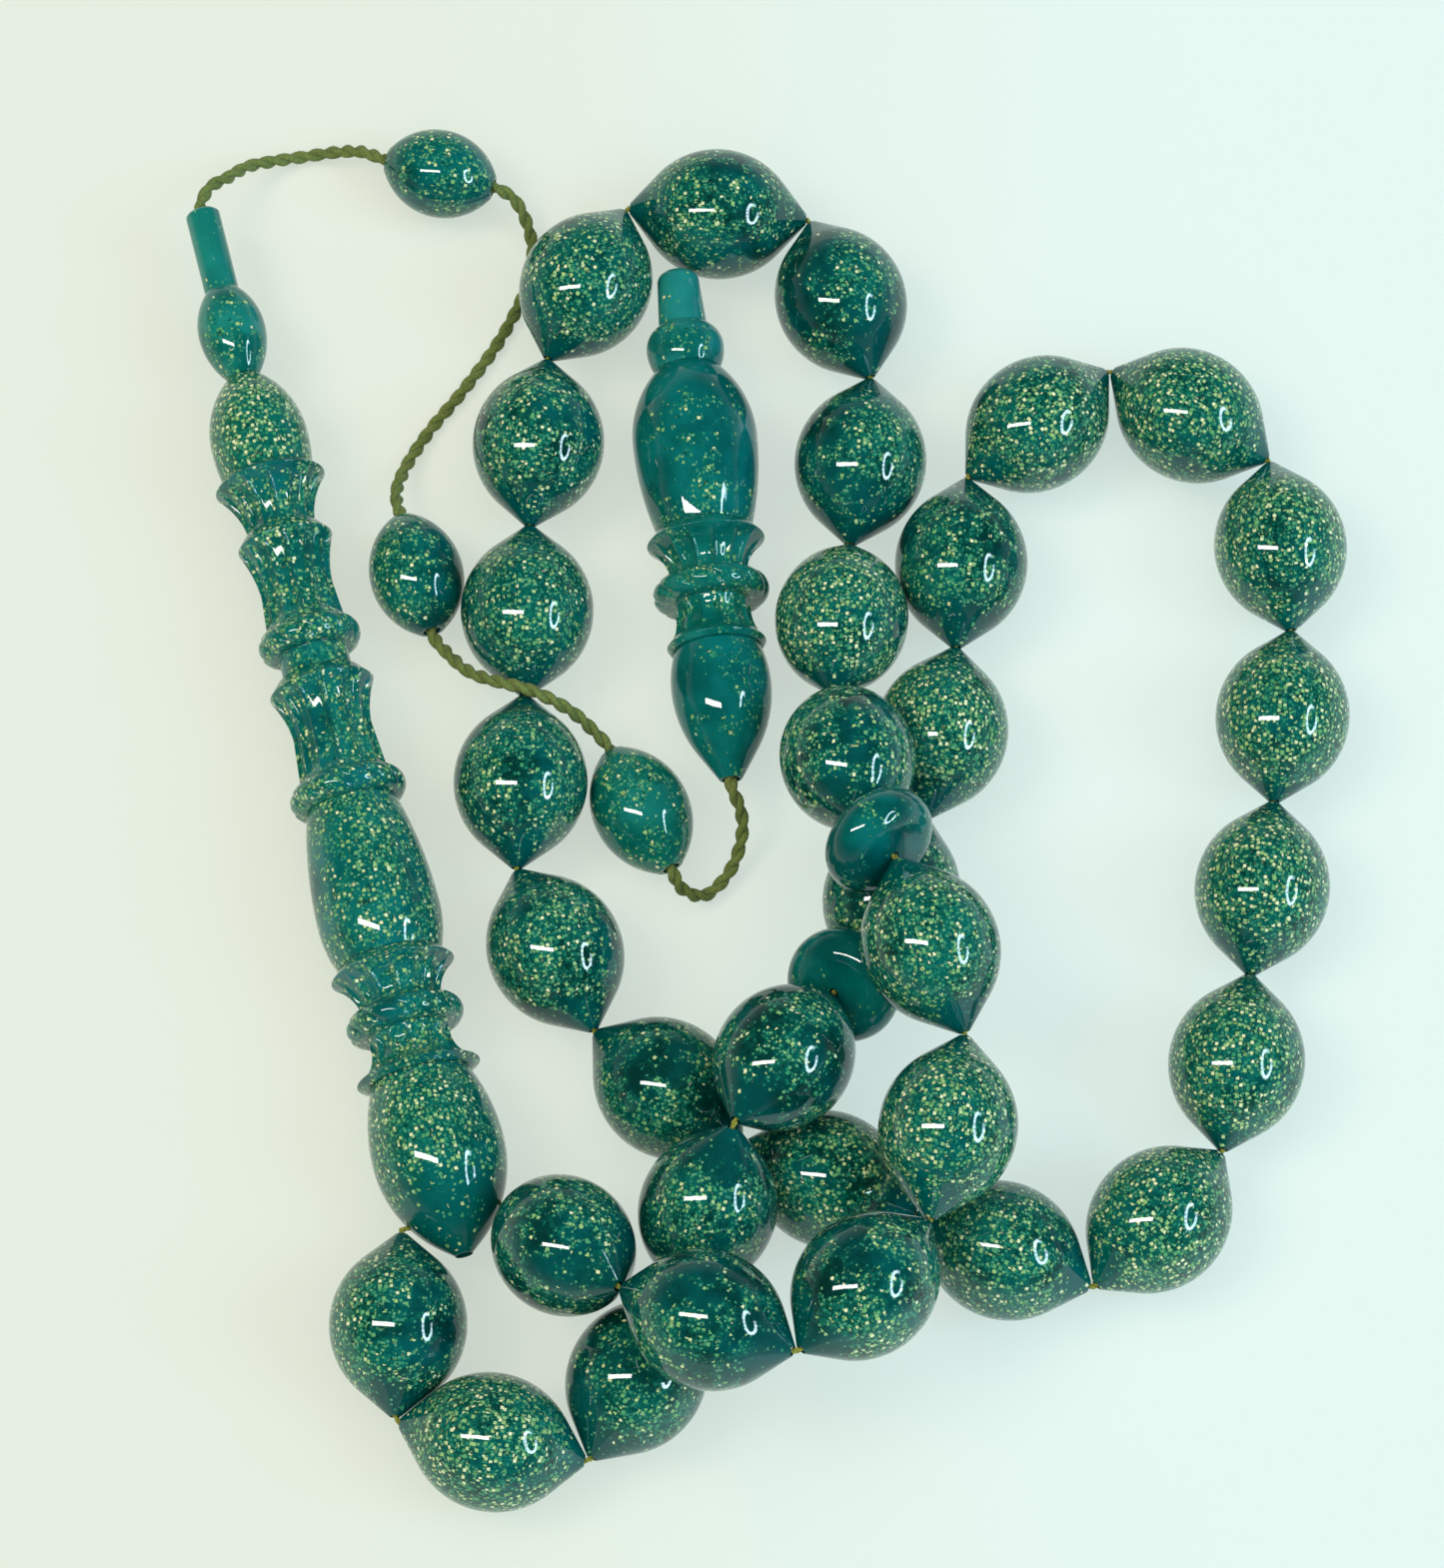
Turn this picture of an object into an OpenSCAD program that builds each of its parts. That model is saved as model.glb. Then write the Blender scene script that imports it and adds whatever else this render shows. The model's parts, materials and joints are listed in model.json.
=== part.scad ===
// Prayer beads (misbaha): a loop of 33 olive beads with two divider discs, laid on a table.
// A turned head piece closes the loop. A twisted cord leaves its top end, carries three
// small beads and ends in a turned pendant. The table is at z = 0.

/* [Beads] */
// Length of a main bead
bead_len = 16; // [12:0.5:20]
// Diameter of a main bead
bead_d = 11.8; // [9:0.1:14.4]
// Angle between a bead's axis and the cone at each end, in degrees
bead_cone = 50; // [44:1:56]
// Diameter of the flat at each end of a bead
bead_tip_d = 1; // [0.9:0.1:1.4]
// Diameter of the hole through a bead or a disc
bead_bore_d = 0.9; // [0.7:0.05:1]
// Diameter of a divider disc
disc_d = 10.2; // [8:0.1:12]
// Thickness of a divider disc
disc_t = 4.6; // [3:0.1:6]

/* [Strings] */
// Diameter of the string through the beads
string_d = 0.6; // [0.3:0.05:0.7]
// Smallest gap between neighbours on the string
string_gap = 0.1; // [0.05:0.05:0.3]
// Diameter of the twisted cord
cord_d = 1.25; // [0.9:0.05:1.5]
// Diameter of the holes that the twisted cord runs through
cord_bore_d = 1.6; // [1.3:0.05:2]
// Diameter of the knot that stops the cord inside the pendant
knot_d = 2.6; // [2.2:0.1:3]

/* [Head piece] */
// Greatest diameter of the foot
foot_d = 11.6; // [10:0.1:13]
// Distance from the foot's point to its cross hole
foot_hole_at = 3.5; // [3:0.1:5]
// Diameter of the foot's cross hole
foot_hole_d = 1.2; // [0.9:0.05:1.6]
// Greatest diameter of the three flanges of the head piece
head_flange_d = 10.6; // [9.4:0.1:11.4]
// Length of the plain tube at the top end
top_tube_len = 8.2; // [6:0.1:12]
// Diameter of the plain tube at the top end
top_tube_d = 3.1; // [2.6:0.1:4]

/* [Small beads and pendant] */
// Length of the small bead nearest the head piece
first_bead_len = 10.1; // [8.4:0.1:12.2]
// Diameter of that bead
first_bead_d = 8; // [6.6:0.1:9.6]
// Length of the middle small bead
middle_bead_len = 11.2; // [9.3:0.1:13.5]
// Diameter of that bead
middle_bead_d = 8.4; // [7:0.1:10.1]
// Length of the small bead nearest the pendant
last_bead_len = 12; // [10:0.1:14.4]
// Diameter of that bead
last_bead_d = 8.6; // [7.1:0.1:10.3]
// Greatest diameter of the pendant's olive
pendant_olive_d = 11.2; // [9.6:0.1:12.4]
// Greatest diameter of the pendant's teardrop
teardrop_d = 8.9; // [7.6:0.1:10]
// Length of the pendant's end tube
end_tube_len = 5.4; // [4:0.1:8]

/* [Joints inside] */
// Diameter of the pegs that join the turned pieces
peg_d = 3.8; // [3.2:0.1:4.4]
// Length of those pegs
peg_len = 2; // [1:0.1:3]
// Clearance round and beyond a peg, filled with glue
peg_gap = 0.05; // [0.02:0.01:0.1]

/* [Hidden] */
$fn = 48;
// Longer than any cut has to reach
far = 40;
// Width of the straight band round the widest point of a bead, a ring or a knot
land = 0.04;

// ---- Shared curves -------------------------------------------------------

// Radius of the belly arc that meets a cone of the given angle without an edge.
function belly_radius(length, r_max, r_tip, cone) =
    ((length * tan(cone) + r_tip) - r_max) / (1 / cos(cone) - 1);

// Profiles have the radius along X and the distance along the axis along Y.

// Straight side between two points.
module side(a, b) {
    polygon([[0, a.y], a, b, [0, b.y]]);
}

// Everything within a radius between two heights.
module band(from, to, r = far) {
    side([r, from], [r, to]);
}

// Pointed end: a cone from the tip at y = 0, rounding into the full radius at y = length.
module nose(length, r_max, r_tip, cone) {
    r = belly_radius(length, r_max, r_tip, cone);
    tangent = [r_max - r + r * cos(cone), length - r * sin(cone)];
    side([r_tip, 0], tangent);
    intersection() {
        translate([r_max - r, length]) circle(r);
        band(tangent.y, length);
    }
}

// Olive with a cone at both ends, centred on y = 0.
module pointed_olive(length, r_max, r_tip, cone) {
    translate([0, -length / 2]) nose((length - land) / 2, r_max, r_tip, cone);
    band(-land / 2, land / 2, r_max);
    mirror([0, 1]) translate([0, -length / 2]) nose((length - land) / 2, r_max, r_tip, cone);
}

// Spins a profile round the Z axis, with its seam to the side, and drills it through.
module turned(bore_d) {
    rotate([0, 0, 90])
        rotate_extrude(convexity = 4)
        difference() {
            children();
            translate([-1, -far]) square([1 + bore_d / 2, 4 * far]);
        }
}

// Points the Z axis along a direction given as heading and rise, in degrees.
module aim(heading, rise = 0) {
    rotate([0, 90 - rise, heading]) children();
}

function unit(v) = v / norm(v);
function compass(a) = [cos(a), sin(a)];
function lift_up(p, z) = [p.x, p.y, z];

// ---- Cords ----------------------------------------------------------------

CORD_SIDES = 8;

// Way of a route at one of its points.
function route_way(route, i) = unit(route[min(i + 1, len(route) - 1)] - route[max(i - 1, 0)]);

// Corners of the tube's cross-section at one of its points.
function cord_ring(route, d, i) =
    let(way = route_way(route, i), across = unit(cross(way, [0, 0, 1])), up = cross(across, way))
    [for (s = [0:CORD_SIDES - 1])
        let(a = 360 * s / CORD_SIDES)
        route[i] + d / 2 * (cos(a) * across + sin(a) * up)];

// Tube of diameter d through the points of a route.
module sweep(route, d) {
    last = len(route) - 1;
    corners = [for (i = [0:last]) each cord_ring(route, d, i)];
    walls = [for (i = [0:last - 1]) for (s = [0:CORD_SIDES - 1])
        let(a = i * CORD_SIDES + s, b = i * CORD_SIDES + (s + 1) % CORD_SIDES)
        each [[a, b, b + CORD_SIDES], [a, b + CORD_SIDES, a + CORD_SIDES]]];
    start_cap = [for (s = [CORD_SIDES - 1:-1:0]) s];
    end_cap = [for (s = [0:CORD_SIDES - 1]) last * CORD_SIDES + s];
    polyhedron(corners, concat(walls, [start_cap, end_cap]), convexity = 10);
}

// ---- Head piece: sizes along its axis, from the foot's point -------------

head_heading = 104.4;
foot_hole = [-26.4, -38.8];
head_z = max(bead_d, foot_d) / 2;
head_start = lift_up(foot_hole - foot_hole_at * compass(head_heading), head_z);

foot_belly_at = 9.5;
foot_end = 16.2;
foot_end_r = 4.35;
foot_tip_r = 0.7;
foot_cone = 50;
collar_end = 27.3;
middle_olive_end = 41.9;
lower_tube_end = 54.5;
upper_tube_end = 74.1;
upper_olive_end = 84.2;
small_olive_end = 92.8;
head_len = small_olive_end + top_tube_len;
head_bore_d = cord_bore_d;

foot_arc_r = belly_radius(foot_belly_at, foot_d / 2, foot_tip_r, foot_cone);
function foot_r(at) = foot_d / 2 - foot_arc_r + sqrt(pow(foot_arc_r, 2) - pow(at - foot_belly_at, 2));

// ---- Loop of beads --------------------------------------------------------

BEADS = 33;
FIRST_DISC = 5;
SECOND_DISC = 29;
ITEMS = BEADS + 2;

// Heading of each bead and disc round the loop, in degrees, from the foot's left side.
item_heading = [
    // Five beads and a disc: down, across the bottom, then up over the loop
    -91, -12, 62, 70, 57, 55,
    // Twenty-three beads: up the middle, round the right side and back along the bottom
    67, 80, 86, 39, -32, -85, -97, -99, -100, -133, 156, 158,
    // ... then up the left side, over the top and down to the middle
    141, 115, 88, 89, 85, 65, -4, -71, -97, -96, -81,
    // The second disc and five beads: down, then left to the foot's right side
    -53, -69, -101, -133, 156, 135];

// Where the string is lifted over another run, at the joints between items, in bead diameters.
lift = [
    [3, 0], [4, 0.9], [5, 0.45], [6, 0.15], [7, 0],
    [27, 0], [28, 0.35], [29, 0.95], [30, 1.1], [31, 0.95],
    [32, 0.85], [33, 1.05], [34, 0.75], [35, 0]];

// String left free between the foot and the loop's first and last bead.
foot_slack = 0.6;
first_slack = 0.4;
last_slack = 0.3;

function is_disc(i) = i == FIRST_DISC || i == SECOND_DISC;
function item_len(i) = is_disc(i) ? disc_t : bead_len;
function joint_z(j) = bead_d * (0.5 + lookup(j, lift));
function rise(i) = asin((joint_z(i + 1) - joint_z(i)) / (item_len(i) + string_gap));
function item_way(i) = lift_up(compass(item_heading[i]) * cos(rise(i)), sin(rise(i)));
function bend(j) = acos(min(1, item_way(j - 1) * item_way(j)));

// Distance from a joint to the faces on both sides, so that their rims stay a gap apart.
function slack(j) =
    j == 0 ? first_slack :
    j == ITEMS ? last_slack :
    string_gap / 2 + bead_tip_d / 2 * tan(bend(j) / 2);

function step_len(i) = item_len(i) + slack(i) + slack(i + 1);
function step(i) = compass(item_heading[i])
    * sqrt(pow(step_len(i), 2) - pow(joint_z(i + 1) - joint_z(i), 2));

foot_reach = (foot_r(foot_hole_at) + foot_slack) * compass(head_heading + 90);
loop_start = foot_hole + foot_reach;
loop_end = foot_hole - foot_reach;

// The joints in plan, before the small closing error is shared out along the loop.
open_loop = [for (i = 0, p = loop_start; i <= ITEMS; p = i < ITEMS ? p + step(i) : p, i = i + 1) p];
closing = loop_end - open_loop[ITEMS];
joint = [for (j = [0:ITEMS]) lift_up(open_loop[j] + closing * j / ITEMS, joint_z(j))];

function item_axis(i) = unit(joint[i + 1] - joint[i]);
function item_centre(i) = (joint[i] + joint[i + 1] + (slack(i) - slack(i + 1)) * item_axis(i)) / 2;
function discs_before(i) = (i > FIRST_DISC ? 1 : 0) + (i > SECOND_DISC ? 1 : 0);
function two_digits(n) = n < 10 ? str("0", n) : str(n);
function item_name(i) = is_disc(i)
    ? str("disc_", 1 + discs_before(i))
    : str("bead_", two_digits(i + 1 - discs_before(i)));

module bead() {
    color("#0f5a58")
        turned(bead_bore_d)
        pointed_olive(bead_len, bead_d / 2, bead_tip_d / 2, bead_cone);
}

module disc() {
    rim_r = disc_t / 2;
    color("#1b6f70")
        turned(bead_bore_d) {
            translate([0, -rim_r]) square([disc_d / 2 - rim_r, disc_t]);
            translate([disc_d / 2 - rim_r, 0]) circle(rim_r);
        }
}

module item(i) {
    axis = item_axis(i);
    translate(item_centre(i))
        aim(atan2(axis.y, axis.x), asin(axis.z))
        if (is_disc(i)) disc();
        else bead();
}

// ---- String ----------------------------------------------------------------

// The two strands lie side by side in the head piece's bore and end where the cord starts.
strand_gap = 0.04;
strand_offset = (string_d + strand_gap) / 2;
cord_inside = 3;
strand_end_at = head_len - cord_inside;

function on_head(at, sideways) =
    head_start + lift_up(at * compass(head_heading) + sideways * compass(head_heading + 90), 0);

// A bend is rounded between the points where it starts and ends.
function rounded(before, corner, after) = [before, (before + 2 * corner + after) / 4, after];

// Where the string leaves the hole of one item and enters the next.
function at_joint(j) = rounded(
    joint[j] - slack(j) * item_axis(j - 1), joint[j], joint[j] + slack(j) * item_axis(j));

// The turn from the foot's cross hole into its bore, on one side, starts this many offsets away.
turn_reach = 3;
function in_foot(sideways) = rounded(
    on_head(foot_hole_at, turn_reach * sideways),
    on_head(foot_hole_at, sideways),
    on_head(foot_hole_at + string_d, sideways));

function backwards(list) = [for (i = [len(list) - 1:-1:0]) list[i]];

string_points = concat(
    [on_head(strand_end_at, strand_offset)],
    backwards(in_foot(strand_offset)),
    rounded(joint[0] + slack(0) * unit(lift_up(-foot_reach, 0)), joint[0],
        joint[0] + slack(0) * item_axis(0)),
    [for (j = [1:ITEMS - 1]) each at_joint(j)],
    rounded(joint[ITEMS] - slack(ITEMS) * item_axis(ITEMS - 1), joint[ITEMS],
        joint[ITEMS] + slack(ITEMS) * unit(lift_up(foot_reach, 0))),
    in_foot(-strand_offset),
    [on_head(strand_end_at, -strand_offset)]);

module string() {
    color("#8a9a3a") sweep(string_points, string_d);
}

// ---- Head piece ------------------------------------------------------------

collar_flange_r = head_flange_d / 2 + 0.2;
upper_flange_r = head_flange_d / 2 - 0.3;
lower_flange_r = 4.7;
inner_flange_r = 4.3;
rope_ring_r = 5.2;
slim_ring_r = 4.6;
ring_len = 2.6;
collar_ring_len = 2.4;
flange_chamfer = 0.5;
olive_end_r = 4.05;
neck_r = 1.4;
finial_peg_d = 2.3;

// Half of a rounded ring or olive: an arc that is widest at one point and ends at another.
module shoulder(widest, end) {
    drop = abs(end.y - widest.y);
    inset = widest.x - end.x;
    r = (drop * drop + inset * inset) / (2 * inset);
    from = min(widest.y, end.y);
    to = max(widest.y, end.y);
    intersection() {
        translate([widest.x - r, widest.y]) circle(r);
        band(from, to);
    }
    band(from, to, end.x);
}

// Bell mouth: an inward arc that is narrowest at one point and flares out to another.
module flare(narrow, wide) {
    drop = abs(wide.y - narrow.y);
    out = wide.x - narrow.x;
    r = (drop * drop + out * out) / (2 * out);
    difference() {
        band(min(wide.y, narrow.y), max(wide.y, narrow.y), wide.x);
        translate([narrow.x + r, narrow.y]) circle(r);
    }
}

module olive(low, widest, high) {
    shoulder(widest, low);
    shoulder(widest, high);
}

module ring(from, to, r_edge, r_max) {
    low = (from + to - land) / 2;
    high = low + land;
    shoulder([r_max, low], [r_edge, from]);
    band(low, high, r_max);
    shoulder([r_max, high], [r_edge, to]);
}

module peg(at, d = peg_d) {
    side([d / 2, at], [d / 2, at + peg_len]);
}

module socket(at, d = peg_d) {
    band(at - 0.01, at + peg_len + peg_gap, d / 2 + peg_gap);
}

module foot_profile() {
    nose(foot_belly_at, foot_d / 2, foot_tip_r, foot_cone);
    shoulder([foot_d / 2, foot_belly_at], [foot_end_r, foot_end]);
    peg(foot_end);
}

module collar_profile() {
    face_r = 4.6;
    waist_r = 3.6;
    waist_at = 19.4;
    ring_at = 20.5;
    ring_edge_r = 4.2;
    flange_at = 26.3;
    difference() {
        union() {
            side([face_r, foot_end], [collar_flange_r, foot_end + flange_chamfer]);
            flare([waist_r, waist_at], [collar_flange_r, foot_end + flange_chamfer]);
            side([waist_r, waist_at], [waist_r, ring_at]);
            ring(ring_at, ring_at + collar_ring_len, ring_edge_r, rope_ring_r);
            flare([waist_r, ring_at + collar_ring_len], [collar_flange_r, flange_at]);
            side([collar_flange_r, flange_at], [face_r, collar_end]);
        }
        socket(foot_end);
    }
    peg(collar_end);
}

module middle_olive_profile() {
    face_r = 4.6;
    widest_at = 31.5;
    widest_r = 5.45;
    difference() {
        olive([face_r, collar_end], [widest_r, widest_at], [olive_end_r, middle_olive_end]);
        socket(collar_end);
    }
    peg(middle_olive_end);
}

module lower_tube_profile() {
    ring_end = middle_olive_end + ring_len;
    tube_r = 4;
    waist_r = 3.6;
    waist_at = 49;
    flange_at = 53.3;
    face_r = 3.7;
    difference() {
        union() {
            ring(middle_olive_end, ring_end, tube_r, rope_ring_r);
            side([tube_r, ring_end], [waist_r, waist_at]);
            flare([waist_r, waist_at], [lower_flange_r, flange_at]);
            side([lower_flange_r, flange_at], [face_r, lower_tube_end]);
        }
        socket(middle_olive_end);
    }
    peg(lower_tube_end);
}

module upper_tube_profile() {
    groove_r = 3.1;
    ring_at = 56.7;
    tube_r = 3.6;
    waist_r = 3.3;
    waist_at = 62.8;
    inner_flange_at = 67.6;
    inner_face_r = 3.5;
    inner_face_at = 68.6;
    flange_at = 73.5;
    face_r = 4.4;
    difference() {
        union() {
            side([groove_r, lower_tube_end], [groove_r, ring_at]);
            ring(ring_at, ring_at + ring_len, tube_r, slim_ring_r);
            side([tube_r, ring_at + ring_len], [waist_r, waist_at]);
            flare([waist_r, waist_at], [inner_flange_r, inner_flange_at]);
            side([inner_flange_r, inner_flange_at], [inner_face_r, inner_face_at]);
            flare([groove_r, inner_face_at], [upper_flange_r, flange_at]);
            side([upper_flange_r, flange_at], [face_r, upper_tube_end]);
        }
        socket(lower_tube_end);
    }
    peg(upper_tube_end);
}

module upper_olive_profile() {
    widest_at = 77.7;
    widest_r = 4.4;
    difference() {
        olive([olive_end_r, upper_tube_end], [widest_r, widest_at], [neck_r, upper_olive_end]);
        socket(upper_tube_end);
        band(upper_olive_end - peg_len - peg_gap, far * 3, finial_peg_d / 2 + peg_gap);
    }
}

module finial_profile() {
    widest_at = 88.8;
    widest_r = 3.05;
    tube_r = top_tube_d / 2;
    chamfer = 0.3;
    peg(upper_olive_end - peg_len, finial_peg_d);
    olive([neck_r, upper_olive_end], [widest_r, widest_at], [tube_r, small_olive_end]);
    side([tube_r, small_olive_end], [tube_r, head_len - chamfer]);
    side([tube_r, head_len - chamfer], [tube_r - chamfer, head_len]);
}

module on_head_axis() {
    translate(head_start) aim(head_heading) children();
}

module head_part(shade) {
    on_head_axis() color(shade) turned(head_bore_d) children();
}

// The foot's bore starts at its cross hole, where the two strands come in.
module head_foot() {
    on_head_axis()
        color("#0f5a58")
        difference() {
            rotate_extrude(convexity = 4) foot_profile();
            translate([0, 0, foot_hole_at]) cylinder(h = far, d = head_bore_d);
            translate([0, -far / 2, foot_hole_at]) rotate([-90, 0, 0]) cylinder(h = far, d = foot_hole_d);
        }
}

module head_collar() { head_part("#176260") collar_profile(); }
module head_middle_olive() { head_part("#0f5a58") middle_olive_profile(); }
module head_lower_tube() { head_part("#176260") lower_tube_profile(); }
module head_upper_tube() { head_part("#176260") upper_tube_profile(); }
module head_upper_olive() { head_part("#0f5a58") upper_olive_profile(); }
module head_finial() { head_part("#25797c") finial_profile(); }

// ---- Small beads -----------------------------------------------------------

SMALL_BEADS = ["small_bead_1", "small_bead_2", "small_bead_3"];
small_len = [first_bead_len, middle_bead_len, last_bead_len];
small_d = [first_bead_d, middle_bead_d, last_bead_d];
small_centre = [
    [-29.2, 60.4, first_bead_d / 2],
    [-30.7, 21, middle_bead_d / 2],
    [-10.6, -1.3, last_bead_d / 2]];
small_heading = [-16, -75, -64];
small_cone = [55, 55, 50];
small_tip_r = 1.1;

module small_bead(i) {
    translate(small_centre[i])
        aim(small_heading[i])
        color("#1b6f70")
        turned(cord_bore_d)
        pointed_olive(small_len[i], small_d[i] / 2, small_tip_r, small_cone[i]);
}

// ---- Pendant: sizes along its axis, from the teardrop's point ----------------

pendant_heading = 95.7;
pendant_z = pendant_olive_d / 2;
pendant_start = [-2.7, 1.1, pendant_z];
teardrop_end = 12.2;
pendant_collar_end = 23.5;
pendant_olive_end = 39.2;
bulge_end = 43.5;
pendant_len = bulge_end + end_tube_len;
pendant_flange_r = 5.3;
bulge_start_r = 2.9;
knot_room = 0.2;
knot_rest_gap = 0.1;
knot_len = 2.6;
knot_at = pendant_olive_end + peg_len + knot_rest_gap;

module pendant_part(shade, bore_d = cord_bore_d) {
    translate(pendant_start) aim(pendant_heading) color(shade) turned(bore_d) children();
}

module pendant_teardrop() {
    widest_at = 8.8;
    tip_r = 1;
    cone = 32;
    face_r = 3.85;
    pendant_part("#25797c") {
        nose(widest_at, teardrop_d / 2, tip_r, cone);
        shoulder([teardrop_d / 2, widest_at], [face_r, teardrop_end]);
        peg(teardrop_end);
    }
}

module pendant_collar() {
    face_r = 4.1;
    rim_r = 4.45;
    waist_r = 3.35;
    waist_at = 15.5;
    ring_at = 16.5;
    ring_edge_r = 4;
    neck_r = 3.4;
    flange_at = 22.5;
    pendant_part("#25797c") {
        difference() {
            union() {
                side([face_r, teardrop_end], [rim_r, teardrop_end + flange_chamfer]);
                flare([waist_r, waist_at], [rim_r, teardrop_end + flange_chamfer]);
                side([waist_r, waist_at], [waist_r, ring_at]);
                ring(ring_at, ring_at + collar_ring_len, ring_edge_r, rope_ring_r);
                flare([neck_r, ring_at + collar_ring_len], [pendant_flange_r, flange_at]);
                side([pendant_flange_r, flange_at], [rim_r, pendant_collar_end]);
            }
            socket(teardrop_end);
        }
        peg(pendant_collar_end);
    }
}

module pendant_olive() {
    face_r = 4.2;
    widest_at = 32.5;
    pendant_part("#176260") {
        difference() {
            olive([face_r, pendant_collar_end],
                [pendant_olive_d / 2, widest_at],
                [bulge_start_r, pendant_olive_end]);
            socket(pendant_collar_end);
        }
        peg(pendant_olive_end);
    }
}

// The end piece is closed and holds the knot.
module pendant_tip() {
    bulge_at = 41.4;
    bulge_r = 3.5;
    tube_r = 2.2;
    end_r = 1.9;
    end_face_r = 0.9;
    end_round = 1;
    pendant_part("#25797c", 0) {
        difference() {
            union() {
                olive([bulge_start_r, pendant_olive_end], [bulge_r, bulge_at], [tube_r, bulge_end]);
                side([tube_r, bulge_end], [end_r, pendant_len - end_round]);
                shoulder([end_r, pendant_len - end_round], [end_face_r, pendant_len]);
            }
            socket(pendant_olive_end);
            band(knot_at - 1, knot_at + knot_len + knot_room, knot_d / 2 + knot_room);
        }
    }
}

module pendant_knot() {
    translate(pendant_start)
        aim(pendant_heading)
        color("#5d6b2a")
        rotate_extrude(convexity = 4)
        ring(knot_at, knot_at + knot_len, cord_d / 2, knot_d / 2);
}

// ---- Twisted cord ------------------------------------------------------------

// Distance from a bead's or the head piece's end to the point where the cord starts to bend.
mouth_gap = 0.5;

function small_axis(i) = lift_up(compass(small_heading[i]), 0);
function through_bead(i) = [
    for (end = [-1, 1]) small_centre[i] + end * (small_len[i] / 2 + mouth_gap) * small_axis(i)];
function on_pendant(at) = pendant_start + at * lift_up(compass(pendant_heading), 0);

// The cord lies on the table between the pieces that hold it up.
from_head = [
    [-50, 58.4, 5.4], [-48.7, 59.6, 4.6], [-46.8, 61.6, 3], [-44.5, 62.7, 1.8],
    [-42, 63.5, 1], [-39, 63.7, 1.6], [-36.5, 63.1, 3]];
to_middle_bead = [
    [-22.4, 58.2, 3], [-21.3, 56.4, 1.8], [-20.8, 54.2, 1], [-21, 51.7, 0.8],
    [-22, 48.7, 0.8], [-24, 44.7, 0.8], [-27, 40.2, 0.8], [-30, 36.2, 0.8],
    [-32.1, 32.1, 1.7], [-32.7, 29.3, 3]];
up_to_loop = [
    [-27.9, 13.3, 5], [-25.8, 11, 6.2], [-23.2, 9.6, 7.4]];
down_from_loop = [
    [-18.6, 7.9, 7.6], [-16.4, 6.9, 6.4], [-14.8, 5.8, 5.1]];
to_pendant = [
    [-7.4, -7.9, 3.5], [-6.3, -8.4, 2.4], [-5.1, -8.3, 1.5], [-3.8, -7.3, 1.4],
    [-2.6, -5.7, 1.8], [-1.9, -3.9, 2.6], [-1.7, -2.2, 3.8], [-2.1, -0.8, 4.9]];
over_joint = 21;
over_height = 2;

cord_route = concat(
    [on_head(strand_end_at, 0), on_head(head_len + mouth_gap, 0)],
    from_head,
    through_bead(0),
    to_middle_bead,
    through_bead(1),
    up_to_loop,
    [joint[over_joint] + [0, 0, over_height]],
    down_from_loop,
    through_bead(2),
    to_pendant,
    [on_pendant(-2 * mouth_gap), on_pendant(knot_at / 3), on_pendant(2 * knot_at / 3), on_pendant(knot_at)]);

module tassel_cord() {
    color("#5d6b2a") sweep(cord_route, cord_d);
}

// ---- Nodes ---------------------------------------------------------------------

for (i = [0:ITEMS - 1]) item(i);
string();
head_foot();
head_collar();
head_middle_olive();
head_lower_tube();
head_upper_tube();
head_upper_olive();
head_finial();
for (i = [0:2]) small_bead(i);
pendant_teardrop();
pendant_collar();
pendant_olive();
pendant_tip();
pendant_knot();
tassel_cord();
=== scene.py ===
"""Prayer beads (misbaha): 33 speckled olive beads, two divider discs, a turned head piece,
a twisted tassel cord with three small beads, and a turned pendant, laid on a pale table.
Sizes in this script are millimetres unless a name says otherwise; MM turns them into metres."""
import json
import math

import bmesh
import bpy
import numpy as np
from mathutils import Matrix, Vector


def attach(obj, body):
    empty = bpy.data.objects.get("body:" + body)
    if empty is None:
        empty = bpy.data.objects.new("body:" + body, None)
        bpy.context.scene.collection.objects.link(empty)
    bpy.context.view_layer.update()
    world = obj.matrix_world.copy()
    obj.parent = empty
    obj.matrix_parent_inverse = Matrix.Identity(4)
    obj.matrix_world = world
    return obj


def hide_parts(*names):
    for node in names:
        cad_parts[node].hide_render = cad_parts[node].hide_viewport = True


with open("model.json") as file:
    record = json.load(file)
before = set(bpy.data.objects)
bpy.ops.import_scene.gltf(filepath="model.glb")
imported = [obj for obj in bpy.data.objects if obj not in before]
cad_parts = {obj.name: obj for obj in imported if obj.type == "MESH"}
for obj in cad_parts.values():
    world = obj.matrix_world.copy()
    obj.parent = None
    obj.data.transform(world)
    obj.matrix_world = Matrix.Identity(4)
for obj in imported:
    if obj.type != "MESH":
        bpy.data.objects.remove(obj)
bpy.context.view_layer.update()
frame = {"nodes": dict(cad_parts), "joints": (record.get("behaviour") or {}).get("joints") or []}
MM = 0.001
SCENE = bpy.context.scene

# ---- Sizes that the frame was built with --------------------------------------------------------

BEAD_LENGTH, BEAD_RADIUS, BEAD_CONE, BEAD_TIP_RADIUS = 16, 5.9, 50, 0.5
BEAD_BORE_RADIUS = 0.45
DISC_RADIUS, DISC_THICKNESS = 5.1, 4.6
CORD_DIAMETER = 1.25
CORD_BORE_RADIUS = 0.8
STRING_DIAMETER = 0.6

HEAD_HEADING = 104.4
FOOT_HOLE = (-26.4, -38.8)
FOOT_HOLE_AT = 3.5
HEAD_HEIGHT = 5.9
HEAD_LENGTH = 101
STRAND_END_AT = 98

PENDANT_HEADING = 95.7
PENDANT_START = (-2.7, 1.1, 5.6)
KNOT_AT = 41.3

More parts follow.
